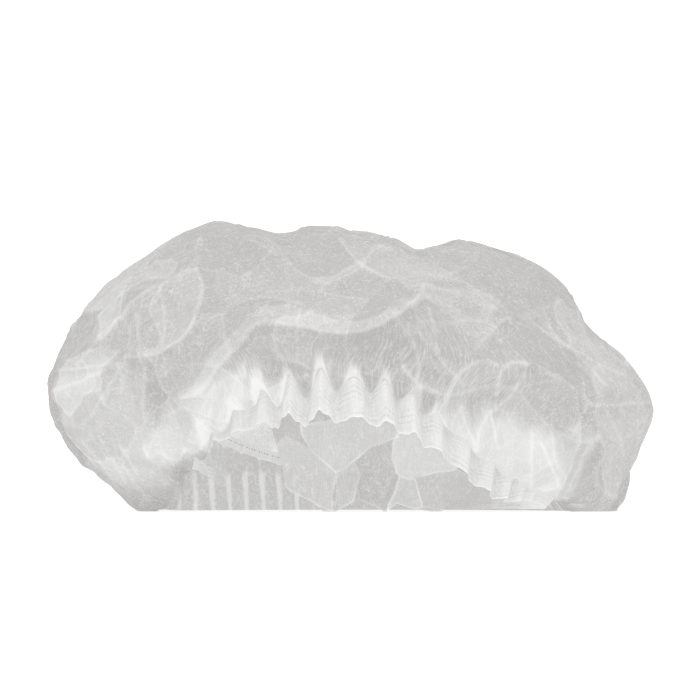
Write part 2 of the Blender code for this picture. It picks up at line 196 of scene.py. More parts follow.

# Routes as shares, widths and lifts in metres, and whiteness, which is partly a painted highlight along
# each crease
CREASES = (
    Crease((
        (-0.55, 0.39), (-0.48, 0.51), (-0.38, 0.637), (-0.287, 0.714), (-0.205, 0.724), (-0.123, 0.686),
        (-0.04, 0.658), (0.069, 0.668), (0.151, 0.714), (0.233, 0.757),
    ), 0.0011, 0.0024, 0.35),
    Crease((
        (-0.506, 0.41), (-0.424, 0.51), (-0.315, 0.644), (-0.178, 0.644), (-0.068, 0.616), (0.048, 0.63),
        (0.137, 0.672), (0.226, 0.75),
    ), 0.0011, 0.002, 0.35),
    Crease((
        (-0.479, 0.988), (-0.5, 0.904), (-0.506, 0.848), (-0.616, 0.777), (-0.72, 0.707), (-0.89, 0.51),
    ), 0.0014, 0.0026, 0.5),
    Crease((
        (-0.506, 0.848), (-0.486, 0.763), (-0.5, 0.693), (-0.547, 0.609), (-0.63, 0.545), (-0.732, 0.538),
    ), 0.0013, 0.0022, 0.5),
    Crease(((-0.612, 0.749), (-0.609, 0.609), (-0.605, 0.468)), 0.001, 0.0016, 0.5),
    Crease(((-0.698, 0.679), (-0.684, 0.567), (-0.673, 0.468), (-0.677, 0.328)), 0.0012, 0.002, 0.6),
    Crease(((-0.807, 0.756), (-0.725, 0.799), (-0.616, 0.82)), 0.001, 0.0012, 0.3),
    Crease(((-0.849, 0.693), (-0.753, 0.749), (-0.63, 0.777)), 0.001, 0.0012, 0.3),
    Crease(((-0.63, 0.89), (-0.67, 0.82), (-0.712, 0.79)), 0.001, 0.0014, 0.3),
    Crease(((-0.745, 0.51), (-0.97, 0.489)), 0.001, 0.0014, 0.5),
    Crease(((-0.745, 0.51), (-0.985, 0.412)), 0.001, 0.0014, 0.5),
    Crease(((-0.738, 0.5), (-0.876, 0.3)), 0.001, 0.0016, 0.6),
    Crease(((-0.745, 0.5), (-0.807, 0.37)), 0.001, 0.0014, 0.5),
    Crease(((-0.74, 0.5), (-0.745, 0.412)), 0.001, 0.0012, 0.4),
    Crease(((-0.821, 0.264), (-0.739, 0.103)), 0.001, 0.0014, 0.5),
    Crease(((-0.753, 0.229), (-0.698, 0.131)), 0.001, 0.0014, 0.5),
    Crease(((-0.876, 0.243), (-0.78, 0.117)), 0.001, 0.0014, 0.5),
    Crease(((-0.17, 0.7), (-0.175, 0.595), (-0.18, 0.524)), 0.001, 0.0012, 0.4),
    Crease(((-0.082, 0.609), (-0.075, 0.468)), 0.001, 0.0012, 0.4),
    Crease(((-0.342, 0.567), (-0.349, 0.468)), 0.001, 0.0012, 0.4),
    Crease(((0.137, 0.68), (0.212, 0.552), (0.206, 0.468), (0.165, 0.412)), 0.0014, 0.0026, 0.6),
    Crease(((0.253, 0.693), (0.274, 0.567), (0.308, 0.496), (0.356, 0.44)), 0.0014, 0.0024, 0.6),
    Crease(((0.247, 0.623), (0.267, 0.51), (0.322, 0.468)), 0.001, 0.0014, 0.4),
    Crease(((0.507, 0.672), (0.425, 0.749), (0.322, 0.82)), 0.0012, 0.002, 0.5),
    Crease(((0.507, 0.672), (0.616, 0.7), (0.733, 0.749)), 0.0012, 0.002, 0.5),
    Crease(((0.507, 0.672), (0.397, 0.567)), 0.0012, 0.002, 0.5),
    Crease(((0.609, 0.693), (0.657, 0.609), (0.739, 0.538), (0.822, 0.44)), 0.0012, 0.002, 0.5),
    Crease(((0.548, 0.665), (0.616, 0.665), (0.685, 0.552), (0.76, 0.43)), 0.001, 0.0014, 0.4),
    Crease((
        (-0.041, 0.946), (0.028, 0.848), (0.165, 0.785), (0.342, 0.749), (0.493, 0.679),
    ), 0.0014, 0.0022, 0.4),
    Crease(((0.288, 0.37), (0.342, 0.468), (0.411, 0.524), (0.466, 0.51)), 0.0014, 0.0026, 0.8),
    Crease((
        (0.466, 0.412), (0.493, 0.496), (0.561, 0.517), (0.657, 0.475), (0.739, 0.398), (0.767, 0.37),
    ), 0.0014, 0.0026, 0.8),
    Crease(((0.459, 0.356), (0.548, 0.44)), 0.0012, 0.002, 0.6),
    Crease(((0.767, 0.37), (0.999, 0.377)), 0.0012, 0.002, 0.5),
    Crease(((0.712, 0.426), (0.753, 0.37), (0.719, 0.271)), 0.0012, 0.002, 0.5),
    Crease(((0.78, 0.243), (0.712, 0.117), (0.698, 0.046)), 0.0012, 0.002, 0.6),
    Crease(((0.849, 0.313), (0.89, 0.201)), 0.0012, 0.0016, 0.4),
    Crease(((0.999, 0.37), (0.945, 0.285), (0.924, 0.187)), 0.0012, 0.002, 0.5),
    Crease(((0.822, 0.201), (0.794, 0.103), (0.89, 0.032)), 0.0012, 0.002, 0.5),
    Crease(((0.354, 0.361), (0.331, 0.32), (0.321, 0.286)), 0.0011, 0.0014, 0.5),
    Crease(((0.354, 0.361), (0.377, 0.293), (0.404, 0.211)), 0.0011, 0.0014, 0.5),
    Crease(((0.444, 0.35), (0.411, 0.265), (0.397, 0.197)), 0.0011, 0.0014, 0.5),
    Crease(((0.444, 0.35), (0.464, 0.293), (0.474, 0.224)), 0.0011, 0.0014, 0.5),
    Crease(((0.589, 0.265), (0.583, 0.163), (0.589, 0.061)), 0.0011, 0.0014, 0.5),
    Crease(((0.619, 0.238), (0.646, 0.163), (0.675, 0.088)), 0.0011, 0.0014, 0.5),
    Crease(((0.805, 0.259), (0.742, 0.153), (0.712, 0.078), (0.669, 0.041)), 0.0011, 0.0014, 0.5),
    Crease(((0.272, 0.357), (0.301, 0.316), (0.318, 0.265)), 0.0011, 0.0014, 0.5),
    Crease((
        (0.166, 0.497), (0.205, 0.442), (0.245, 0.432), (0.272, 0.408), (0.268, 0.367), (0.245, 0.32),
    ), 0.0018, 0.003, 0.9),
    Crease((
        (-0.672, 0.231), (-0.656, 0.194), (-0.619, 0.211), (-0.596, 0.194), (-0.56, 0.184), (-0.536, 0.218),
        (-0.517, 0.207), (-0.497, 0.214), (-0.474, 0.255), (-0.45, 0.241), (-0.417, 0.235), (-0.391, 0.255),
        (-0.371, 0.289), (-0.344, 0.265), (-0.321, 0.262), (-0.291, 0.282), (-0.278, 0.33),
    ), 0.0012, 0.0016, 0.6),
    Crease((
        (-0.497, 0.299), (-0.474, 0.323), (-0.45, 0.299), (-0.424, 0.293), (-0.397, 0.316), (-0.374, 0.347),
        (-0.348, 0.323), (-0.318, 0.32), (-0.291, 0.354), (-0.272, 0.388), (-0.245, 0.361), (-0.219, 0.361),
        (-0.192, 0.395),
    ), 0.0012, 0.0016, 0.5),
)


@dataclass(frozen=True)
class DrawnSpot:
    """A round place of the front where the fibres are drawn into lines, in shares."""

    across: float
    up: float
    spread: float


DRAWN_SPOTS = (
    DrawnSpot(0.22, 0.60, 0.13),
    DrawnSpot(0.34, 0.52, 0.10),
    DrawnSpot(0.50, 0.45, 0.11),
    DrawnSpot(-0.80, 0.70, 0.13),
    DrawnSpot(-0.38, 0.46, 0.10),
)


@dataclass(frozen=True)
class Patch:
    """A stretch of doubled cloth seen from the front, with a plain outline and a whiter rim."""

    outline: tuple
    density: float
    rim: float
    soft: float = 0.014


# The white cones of the gathers at the left end of the lifted hem
LEFT_CONES = (
    ((-0.596, 0.395), (-0.672, 0.19), (-0.636, 0.163), (-0.57, 0.17), (-0.55, 0.211)),
    ((-0.454, 0.446), (-0.55, 0.214), (-0.53, 0.177), (-0.487, 0.184), (-0.47, 0.245)),
    ((-0.351, 0.517), (-0.47, 0.245), (-0.424, 0.211), (-0.374, 0.231), (-0.371, 0.286)),
    ((-0.291, 0.442), (-0.371, 0.286), (-0.331, 0.238), (-0.285, 0.252), (-0.278, 0.327)),
    ((-0.228, 0.456), (-0.275, 0.327), (-0.245, 0.272), (-0.199, 0.299), (-0.192, 0.361)),
)

# The doubled stretches of the crown
CROWN_PATCHES = (
    Patch((
        (-0.554, 0.391), (-0.479, 0.51), (-0.383, 0.637), (-0.287, 0.714), (-0.205, 0.724), (-0.123, 0.686),
        (-0.041, 0.658), (0.069, 0.668), (0.151, 0.714), (0.233, 0.756), (0.26, 0.742), (0.226, 0.728),
        (0.137, 0.672), (0.069, 0.63), (-0.068, 0.616), (-0.178, 0.644), (-0.315, 0.644), (-0.369, 0.574),
        (-0.424, 0.51), (-0.493, 0.412),
    ), 0.32, 0.05),
    Patch((
        (-0.486, 0.946), (-0.506, 0.848), (-0.616, 0.778), (-0.718, 0.707), (-0.746, 0.51), (-0.95, 0.53),
        (-0.89, 0.665), (-0.684, 0.876),
    ), 0.1, 0.14, 0.06),
    Patch((
        (-0.746, 0.52), (-0.69, 0.45), (-0.66, 0.3), (-0.62, 0.22), (-0.6, 0.1), (-0.85, 0.06),
        (-0.98, 0.18), (-1.04, 0.34), (-1.02, 0.47), (-0.9, 0.5),
    ), 0.42, 0.1, 0.12),
    Patch((
        (-0.506, 0.848), (-0.486, 0.763), (-0.499, 0.693), (-0.547, 0.609), (-0.63, 0.546), (-0.732, 0.538),
        (-0.718, 0.707), (-0.616, 0.778),
    ), 0.14, 0.18),
    Patch((
        (-0.041, 0.946), (0.028, 0.848), (0.164, 0.785), (0.233, 0.756), (0.342, 0.665), (0.425, 0.567),
        (0.507, 0.672), (0.322, 0.82), (0.151, 0.918), (0.041, 0.96),
    ), 0.16, 0.1, 0.03),
    Patch((
        (0.507, 0.672), (0.609, 0.693), (0.733, 0.749), (0.89, 0.567), (1.0, 0.377), (0.767, 0.37),
        (0.739, 0.538), (0.657, 0.609),
    ), 0.12, 0.14),
    Patch((
        (0.342, 0.468), (0.411, 0.524), (0.466, 0.51), (0.561, 0.517), (0.657, 0.475), (0.739, 0.398),
        (0.753, 0.243), (0.671, 0.039), (0.548, 0.06), (0.425, 0.117), (0.342, 0.215), (0.267, 0.356),
    ), 0.16, 0.2),
    Patch((
        (0.767, 0.37), (1.0, 0.377), (1.013, 0.243), (0.89, 0.046), (0.698, 0.046), (0.78, 0.243),
    ), 0.12, 0.14),
    Patch((
        (-0.424, 0.51), (-0.315, 0.644), (-0.26, 0.567), (-0.205, 0.44), (-0.287, 0.356), (-0.479, 0.299),
        (-0.534, 0.356),
    ), 0.1, 0.14, 0.05),
    Patch((
        (-0.672, 0.204), (-0.662, 0.265), (-0.613, 0.333), (-0.576, 0.384), (-0.497, 0.435),
        (-0.414, 0.486), (-0.348, 0.531), (-0.291, 0.452), (-0.199, 0.452), (-0.166, 0.367),
        (-0.192, 0.333), (-0.278, 0.299), (-0.374, 0.265), (-0.474, 0.224), (-0.553, 0.184), (-0.613, 0.17),
    ), 0.42, 0, 0.07),
    *(Patch(outline, 0.14, 0.12, 0.04) for outline in LEFT_CONES),
    Patch((
        (0.444, 0.377), (0.475, 0.333), (0.52, 0.337), (0.57, 0.29), (0.619, 0.293), (0.659, 0.253),
        (0.672, 0.163), (0.672, 0.051), (0.649, 0.017), (0.593, 0.017), (0.54, 0.034), (0.477, 0.041),
        (0.43, 0.061), (0.371, 0.088), (0.338, 0.136), (0.298, 0.17), (0.265, 0.231), (0.248, 0.333),
        (0.272, 0.357), (0.298, 0.316), (0.321, 0.293), (0.354, 0.361), (0.397, 0.265),
    ), 0.5, 0.05, 0.07),
    Patch((
        (0.659, 0.253), (0.702, 0.283), (0.745, 0.307), (0.805, 0.259), (0.742, 0.153), (0.712, 0.078),
        (0.675, 0.041), (0.672, 0.163),
    ), 0.32, 0.1, 0.06),
)

# The doubled stretches of the cloth that hangs under the lifted front
INNER_PATCHES = (
    Patch((
        (-0.166, 0.299), (-0.159, 0.265), (-0.132, 0.211), (-0.053, 0.139), (0.007, 0.177), (0.07, 0.228),
        (0.149, 0.265), (0.139, 0.32), (0.0, 0.34),
    ), 0.26, 0.55),
    Patch((
        (0.136, 0.248), (0.195, 0.361), (0.268, 0.252), (0.374, 0.173), (0.341, 0.15), (0.189, 0.116),
        (0.149, 0.133), (0.136, 0.184),
    ), 0.38, 0.45),
    Patch((
        (-0.291, 0.129), (-0.232, 0.088), (-0.166, 0.044), (-0.066, 0.003), (-0.053, 0.139),
        (-0.132, 0.211), (-0.215, 0.265), (-0.265, 0.214),
    ), 0.22, 0.32),
    Patch(((-0.053, 0.139), (-0.04, 0.003), (0.007, 0.041), (0.023, 0.129), (0.007, 0.177)), 0.18, 0.3),
    Patch(((0.156, 0.126), (0.119, 0.003), (0.232, 0.02), (0.205, 0.116)), 0.24, 0.5),
    Patch((
        (0.205, 0.116), (0.232, 0.02), (0.331, 0.0), (0.397, 0.041), (0.43, 0.112), (0.341, 0.15),
    ), 0.15, 0.3),
)

# The lower edge of the hanging cloth, as across and height shares
HANG = (
    (-0.31, 0.15), (-0.27, 0.12), (-0.166, 0.044), (-0.10, 0.004), (-0.055, 0.0), (-0.02, 0.02),
    (0.03, 0.045), (0.09, 0.020), (0.12, 0.0), (0.16, 0.03), (0.21, 0.02), (0.30, 0.0), (0.38, 0.02),
    (0.43, 0.09), (0.53, 0.17),
)


@dataclass(frozen=True)
class Section:
    """One station of the crown's four sections, as shares of the half width or depth and the height."""

    right: tuple
    left: tuple
    front: tuple
    rear: tuple


SECTIONS = (
    Section((0.00, 0.985), (0.00, 0.985), (0.00, 0.985), (0.00, 0.985)),
    Section((0.15, 0.950), (0.13, 0.990), (0.20, 0.965), (0.20, 0.960)),
    Section((0.41, 0.932), (0.49, 0.985), (0.44, 0.915), (0.45, 0.900)),
    Section((0.64, 0.840), (0.685, 0.880), (0.66, 0.825), (0.68, 0.790)),
    Section((0.80, 0.665), (0.855, 0.740), (0.845, 0.735), (0.86, 0.640)),
    Section((0.92, 0.515), (0.970, 0.550), (0.950, 0.665), (0.965, 0.480)),
    Section((1.00, 0.360), (1.00, 0.390), (0.995, 0.600), (1.00, 0.320)),
    Section((0.94, 0.180), (0.930, 0.215), (0.990, 0.540), (0.965, 0.165)),
    Section((0.87, 0.000), (0.790, 0.095), (0.965, 0.495), (0.880, 0.000)),
    Section((0.76, -0.020), (0.660, 0.020), (0.930, 0.466), (0.800, -0.020)),
)


@dataclass(frozen=True)
class HemSpan:
    """A stretch of the hem: the direction of its middle, and its spread."""

    direction_deg: float
    half_width_deg: float

    def share(self, azimuth: np.ndarray) -> np.ndarray:
        """1 in the span's own direction, fading to 0 beside it."""
        turn = np.angle(np.exp(1j * (azimuth - math.radians(self.direction_deg))))
        return np.exp(-((turn / math.radians(self.half_width_deg)) ** 2))


@dataclass(frozen=True)
class HemSag(HemSpan):
    """Where the hem hangs below its plain height, by a share of the cap's height."""

    depth: float


@dataclass(frozen=True)
class CapForm:
    """The cap's sizes, and the surfaces that follow from them."""

    width: float = 0.312
    depth: float = 0.270
    height: float = 0.148
    # The opening, the hem's heights and the frill's leans run right, left, front and rear
    opening: tuple = (0.68, 0.615, 0.895, 0.71)
    hem_height: tuple = (0.013, 0.048, 0.068, 0.019)
    right_sag: HemSag = HemSag(308.0, 22.0, 0.142)
    left_sag: HemSag = HemSag(212.0, 26.0, 0.068)
    scallops: HemSpan = HemSpan(230.0, 20.0)
    sag_start: float = 0.50
    pleats: int = 48
    pleat_depth: float = 0.0034
    pleat_rise: float = 0.0057
    drift: float = 0.55
    rib_pitch: float = 0.0087
    first_rib: float = -0.0541
    last_rib: float = -0.015
    rib_height: float = 0.021
    gather_front: float = 0.62
    gather_rear: float = 0.30
    frill_width: float = 0.021
    frill_edge_depth: float = 0.0056
    frill_leans: tuple = ((-0.60, 0.56), (-0.30, 0.90), (0.24, 0.90), (-0.12, 0.87))
    elastic_width: float = 0.005
    elastic_inset: float = 0.0048
    floor_gap: float = 0.0004
    middle_share: float = 0.38

    @property
    def half_width(self) -> float:
        """Half the cap's width."""
        return self.width / 2

    @property
    def half_depth(self) -> float:
        """Half the cap's depth."""
        return self.depth / 2

    @property
    def hem_outs(self) -> tuple:
        """How far out the elastic line lies to the right, left, front and rear."""
        reach = (self.half_width, self.half_width, self.half_depth, self.half_depth)
        return tuple(share * size for share, size in zip(self.opening, reach))

    @property
    def shift(self) -> np.ndarray:
        """From this form's own middle to the frame's, read from the elastic ring's box."""
        low, high = (np.array(corner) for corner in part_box("elastic_band"))
        right, left, front, rear = self.hem_outs
        own = np.array(((right - left) / 2, (rear - front) / 2))
        middle = (low + high)[:2] / 2
        return np.append(middle - own, 0.0)

    def side_weights(self, azimuth: np.ndarray) -> np.ndarray:
        """How much of the right, left, front and rear sections there is in each direction."""
        across, along = np.cos(azimuth), np.sin(azimuth)
        parts = (across, -across, -along, along)
        return np.stack([np.maximum(part, 0) ** 2 for part in parts], axis=-1)

    def section_points(self) -> np.ndarray:
        """The sections as (station, side, out and up), with the hem as the last station."""
        reach = (self.half_width, self.half_width, self.half_depth, self.half_depth)
        rows = []
        for section in SECTIONS:
            pairs = (section.right, section.left, section.front, section.rear)
            rows.append([(out * size, up * self.height) for (out, up), size in zip(pairs, reach)])
        rows.append(list(zip(self.hem_outs, self.hem_height)))
        return np.array(rows)

    def phase(self, azimuth: np.ndarray) -> np.ndarray:
        """Where in its pleat each direction lies, 0 on the crest and unevenly spaced as in real gathers."""
        drift = self.drift * (np.sin(5 * azimuth + 1) + 0.8 * np.sin(11 * azimuth + 2))
        return self.pleats * azimuth + drift

    def wave(self, azimuth: np.ndarray) -> np.ndarray:
        """1 on the crest of a pleat and -1 in the valley, with cusped scallops near the left corner."""
        phase = self.phase(azimuth)
        cusped = self.scallops.share(azimuth)
        scallop = 1 - 2 * np.abs(np.sin(phase / 2)) ** 1.3
        return np.cos(phase) * (1 - cusped) + scallop * cusped

    def hem_sag(self, azimuth: np.ndarray) -> np.ndarray:
        """How far below its plain height the elastic line hangs in each direction."""
        sags = (self.right_sag, self.left_sag)
        return sum(sag.depth * self.height * sag.share(azimuth) for sag in sags)

    def ribs(self, points: np.ndarray) -> np.ndarray:
        """The narrow upright white ribs of the rear gathers, tapering towards the floor."""
        across, height = points[..., 0], points[..., 2]
        wave = np.cos(TURN * (across + 0.06 * height - self.first_rib) / self.rib_pitch)
        top = self.rib_height + 0.0016 * np.sin(across * 900)
        low = smooth_step((top - height) / 0.004) * smooth_step((self.last_rib - across) / 0.012)
        return smooth_step((wave - 0.62 + 0.25 * height / self.rib_height) / 0.22) * low

    def rise(self, azimuth: np.ndarray) -> np.ndarray:
        """How far the front's zigzag climbs on each crest."""
        uneven = 0.9 + 0.35 * np.sin(13 * azimuth) + 0.3 * np.sin(7 * azimuth + 1)
        uneven = uneven + 0.2 * np.sin(29 * azimuth)
        front = self.side_weights(azimuth)[..., 2] * (1 - 0.7 * self.right_sag.share(azimuth))
        return self.pleat_rise * uneven * (front + 0.35 * self.scallops.share(azimuth))

    def seen_from(self, side: Side, points: np.ndarray) -> tuple:
        """The points as a viewer of one side sees them.

        Args:
            side: the side that the viewer faces.
            points: the points, in metres.

        Returns:
            Across and up, both as shares of the half width, and how squarely each point faces the viewer.
        """
        x, y, z = (points[..., k] for k in range(3))
        half = self.half_width
        views = {
            Side.FRONT: (x, z, -y / self.half_depth),
            Side.REAR: (x, z, y / self.half_depth),
            Side.LEFT: (y * half / self.half_depth, z, -x / half),
            Side.RIGHT: (y * half / self.half_depth, z, x / half),
            Side.TOP: (x, y, 2 * z / self.height - 1),
        }
        across, up, facing = views[side]
        return across / half, up / half, smooth_step(facing / 0.35)

    def scaled_route(self, side: Side, route: Sequence) -> list:
        """A route's up shares turned from shares of the height or depth to shares of the half width."""
        size = self.half_depth if side is Side.TOP else self.height
        return [(across, up * size / self.half_width) for across, up in route]

    def crown_points(self, azimuth: np.ndarray, level: np.ndarray) -> np.ndarray:
        """The crown's outer face with its gathers, before the folds and creases.

        Args:
            azimuth: the direction of each point, from +X.
            level: 0 at the top and 1 at the elastic line.

        Returns:
            The points, before the shift to the frame's origin.
        """
        sections = self.section_points()
        out_up = through_points(sections, level * (len(sections) - 1))
        weights = self.side_weights(azimuth)
        out = (weights * out_up[..., 0]).sum(axis=-1)
        up = (weights * out_up[..., 1]).sum(axis=-1)
        up = up - self.hem_sag(azimuth) * smooth_step((level - self.sag_start) / (1 - self.sag_start))
        pleat = self.wave(azimuth) * self.gather(azimuth, level)
        out = out + self.pleat_depth * pleat * (1 - 0.6 * self.right_sag.share(azimuth))
        up = up + self.rise(azimuth) * pleat
        return np.stack((out * np.cos(azimuth), out * np.sin(azimuth), up), axis=-1)

    def gather(self, azimuth: np.ndarray, level: np.ndarray) -> np.ndarray:
        """How strongly the elastic gathers the cloth at each point."""
        front = self.side_weights(azimuth)[..., 2]
        reach = self.gather_rear + (self.gather_front - self.gather_rear) * front
        return smooth_step((level - 1 + reach) / reach)

    def fold_heights(self, points: np.ndarray) -> np.ndarray:
        """How far the soft folds and dents push the cloth out at each point."""
        ridges = np.zeros(points.shape[:-1])
        dents = np.zeros(points.shape[:-1])
        for fold in (*SOFT_FOLDS, SHOULDER_DENT):
            across, up, facing = self.seen_from(fold.side, points)
            distance = distance_to_route(across, up, self.scaled_route(fold.side, fold.route))
            push = facing * np.exp(-((distance / fold.half_width) ** 2)) * fold.height * self.height
            ridges = np.maximum(ridges, push)
            dents = np.minimum(dents, push)
        return ridges + dents

    def outward(self, points: np.ndarray) -> np.ndarray:
        """Unit directions away from the middle of the cap."""
        away = points - np.array((0.0, 0.0, self.middle_share * self.height))
        return away / np.linalg.norm(away, axis=-1, keepdims=True)

    def hem_ring(self, azimuth: np.ndarray, inset: float = 0.0, lift: float = 0.0) -> np.ndarray:
        """Points on the smooth elastic line, moved in towards the middle and up."""
        weights = self.side_weights(azimuth)
        out = weights @ np.array(self.hem_outs) - inset
        up = weights @ np.array(self.hem_height) - self.hem_sag(azimuth) + lift
        return np.stack((out * np.cos(azimuth), out * np.sin(azimuth), up), axis=-1)

    def frill_points(self, azimuth: np.ndarray, drop: np.ndarray, wave: np.ndarray) -> np.ndarray:
        """The frill's face. drop runs from 0 at the elastic line to 1 at the free edge."""
        weights = self.side_weights(azimuth)
        lean = (weights @ np.array(self.frill_leans)) * self.frill_width
        swing = self.pleat_depth + (self.frill_edge_depth - self.pleat_depth) * drop
        ring = self.hem_ring(azimuth)
        out = np.hypot(ring[..., 0], ring[..., 1]) + lean[..., 0] * drop + swing * wave
        up = ring[..., 2] - lean[..., 1] * drop + self.rise(azimuth) * wave
        up = np.maximum(up, self.floor_gap)
        return np.stack((out * np.cos(azimuth), out * np.sin(azimuth), up), axis=-1)


class Socket:
    """A shader socket with arithmetic: each expression adds the Math node that works it out."""

    def __init__(self, nodes: "NodeBook", socket: Any) -> None:
        """Keeps the socket and the book that adds nodes beside it."""
        self.nodes = nodes
        self.socket = socket

    def _math(self, operation: str, first: Any, second: Any, clamp: bool = False) -> "Socket":
        """Adds one Math node and returns its result."""
        return self.nodes.add(
            "ShaderNodeMath", {"operation": operation, "use_clamp": clamp}, {0: first, 1: second}
        )

    def __add__(self, other: Any) -> "Socket":
        """This value plus another."""
        return self._math("ADD", self, other)

    def __radd__(self, other: Any) -> "Socket":
        """Another value plus this one."""
        return self._math("ADD", other, self)

    def __sub__(self, other: Any) -> "Socket":
        """This value less another."""
        return self._math("SUBTRACT", self, other)

    def __rsub__(self, other: Any) -> "Socket":
        """Another value less this one."""
        return self._math("SUBTRACT", other, self)

    def __mul__(self, other: Any) -> "Socket":
        """This value times another."""
        return self._math("MULTIPLY", self, other)

    def __rmul__(self, other: Any) -> "Socket":
        """Another value times this one."""
        return self._math("MULTIPLY", other, self)

    def clamped(self) -> "Socket":
        """This value held between 0 and 1."""
        return self._math("ADD", self, 0.0, clamp=True)

    def ramp(self, low: float, high: float) -> "Socket":
        """0 where this value is low, 1 where it is high, and smooth between."""
        return self.nodes.add(
            "ShaderNodeMapRange",
            {"interpolation_type": "SMOOTHSTEP"},
            {"Value": self, "From Min": low, "From Max": high},
        )


class NodeBook:
    """Adds nodes to one material's tree."""

    def __init__(self, material: Any) -> None:
        """Empties the material's tree and keeps it."""
        material.use_nodes = True
        self.tree = material.node_tree
        self.tree.nodes.clear()

    def add(
        self, kind: str, settings: dict | None = None, inputs: dict | None = None, output: Any = 0
    ) -> Socket | None:
        """Adds one node.

        Args:
            kind: the node's type.
            settings: values set on the node itself, before its sockets.
            inputs: a number, a colour or a Socket for each named or counted input.
            output: the name or number of the output to return.

        Returns:
            The chosen output, or nothing for a node that has none.
        """
        node = self.tree.nodes.new(kind)
        for name, value in (settings or {}).items():
            setattr(node, name, value)
        for key, value in (inputs or {}).items():
            if isinstance(value, Socket):
                self.tree.links.new(value.socket, node.inputs[key])
            else:
                node.inputs[key].default_value = value
        return Socket(self, node.outputs[output]) if node.outputs else None

    def attribute(self, name: str) -> Socket:
        """A number that the mesh keeps at its points."""
        return self.add("ShaderNodeAttribute", {"attribute_name": name}, output="Fac")

    def mix_colour(self, share: Any, first: Any, second: Any) -> Socket:
        """Two colours mixed by a share."""
        node = self.tree.nodes.new("ShaderNodeMix")
        node.data_type = "RGBA"
        for place, value in ((0, share), (6, first), (7, second)):
            if isinstance(value, Socket):
                self.tree.links.new(value.socket, node.inputs[place])
            else:
                node.inputs[place].default_value = value
        return Socket(self, node.outputs[2])


@dataclass(frozen=True)
class Nonwoven:
    """Thin white nonwoven cloth: a web of fibres whose overlapping layers read whiter and denser. It also
    carries a painted glow: an emission colour, brighter where denser, that lights the cloth though it is no
    lamp.
    """

    name: str
    thin: tuple = (0.10, 0.099, 0.098)
    dense: tuple = (0.16, 0.16, 0.159)
    # Painted light: emission colours for thin and dense cloth, a glow that stands in for the light the
    # cloth gets
    thin_painted_glow: tuple = (0.320, 0.313, 0.310)
    dense_painted_glow: tuple = (0.72, 0.718, 0.717)
    open_alpha: float = 0.78
    full_alpha: float = 0.96
    fibres: tuple = ((190.0, 0.040), (270.0, 0.048), (360.0, 0.055), (480.0, 0.060))
    layer_steps: tuple = (3.1, 1.7, 0.6)
    curl: float = 1.1
    web_share: float = 0.50
    middle_web: float = 0.12
    passing: float = 0.40

    def web(self, book: NodeBook, place: Socket) -> Socket:
        """Several layers of thin curving fibres, each where a noise crosses its middle value."""
        total = None
        for turn, (scale, width) in enumerate(self.fibres):
            offset = tuple(turn * step for step in self.layer_steps)
            moved = book.add("ShaderNodeVectorMath", {"operation": "ADD"}, {0: place, 1: offset})
            field = book.add(
                "ShaderNodeTexNoise",
                {},
                {"Vector": moved, "Scale": scale, "Detail": 0.0, "Distortion": self.curl},
            )
            away = book.add("ShaderNodeMath", {"operation": "ABSOLUTE"}, {0: field - 0.5})
            lines = 1.0 - away.ramp(0.0, width)
            total = lines if total is None else total + lines
        return total

    def streaks(self, book: NodeBook, place: Socket) -> Socket:
        """Fibres drawn into long curving lines, along the run of the cloth."""
        sway = book.add("ShaderNodeTexNoise", {}, {"Vector": place, "Scale": 55.0, "Detail": 1.0}) - 0.5
        along = book.attribute("along") + sway * 0.006
        run = book.attribute("run")
        stretched = book.add("ShaderNodeCombineXYZ", {}, {"X": along * 1300.0, "Y": run * 140.0, "Z": 0.0})
        return book.add(
            "ShaderNodeTexNoise", {}, {"Vector": stretched, "Scale": 1.0, "Detail": 2.0, "Distortion": 0.6}
        ).ramp(0.40, 0.68)

    def material(self) -> Any:
        """The finished material."""
        made = bpy.data.materials.new(self.name)
        book = NodeBook(made)
        place = book.add("ShaderNodeTexCoord", output="Object")
        layers = book.attribute("layers")
        drawn = book.attribute("drawn")
        web = self.web(book, place) * 0.5
        clumps = book.add(
            "ShaderNodeTexNoise", {}, {"Vector": place, "Scale": 60.0, "Detail": 3.0, "Roughness": 0.6}
        ).ramp(0.36, 0.66)
        loose = (web * (clumps * 0.35 + 0.65)).clamped()
        fibre = loose * (1.0 - drawn) + self.streaks(book, place) * drawn
        density = (layers + (fibre - self.middle_web) * self.web_share * (1.15 - layers)).clamped()
        colour = book.mix_colour(density, (*self.thin, 1.0), (*self.dense, 1.0))
        # Painted light: the emission colour, mixed by density, makes the cloth glow though it is no lamp
        painted_light_colour = book.mix_colour(density, (*self.thin_painted_glow, 1.0), (*self.dense_painted_glow, 1.0))
        alpha = (density * (self.full_alpha - self.open_alpha) + self.open_alpha).clamped()
        face = book.add(
            "ShaderNodeBsdfPrincipled",
            {},
            {
                "Base Color": colour,
                "Roughness": 0.85,
                "Specular IOR Level": 0.2,
                "Sheen Weight": 0.10,
                "Sheen Roughness": 0.5,
                "Emission Color": painted_light_colour,
                "Emission Strength": 1 / (1 - self.passing),
            },
        )
        glow = book.add("ShaderNodeBsdfTranslucent", {}, {"Color": colour})
        cloth = book.add("ShaderNodeMixShader", {}, {0: self.passing, 1: face, 2: glow})
        clear = book.add("ShaderNodeBsdfTransparent", {}, {"Color": (1.0, 1.0, 1.0, 1.0)})
        body = book.add("ShaderNodeMixShader", {}, {0: alpha, 1: clear, 2: cloth})
        book.add("ShaderNodeOutputMaterial", {}, {"Surface": body})
        made.surface_render_method = "DITHERED"
        return made


@dataclass(frozen=True)
class Plain:
    """A plain finish of one colour."""

    name: str
    colour: tuple
    roughness: float

    def material(self) -> Any:
        """The finished material."""
        made = bpy.data.materials.new(self.name)
        book = NodeBook(made)
        face = book.add(
            "ShaderNodeBsdfPrincipled",
            {},
            {"Base Color": (*self.colour, 1.0), "Roughness": self.roughness, "Specular IOR Level": 0.2},
        )
        book.add("ShaderNodeOutputMaterial", {}, {"Surface": face})
        return made


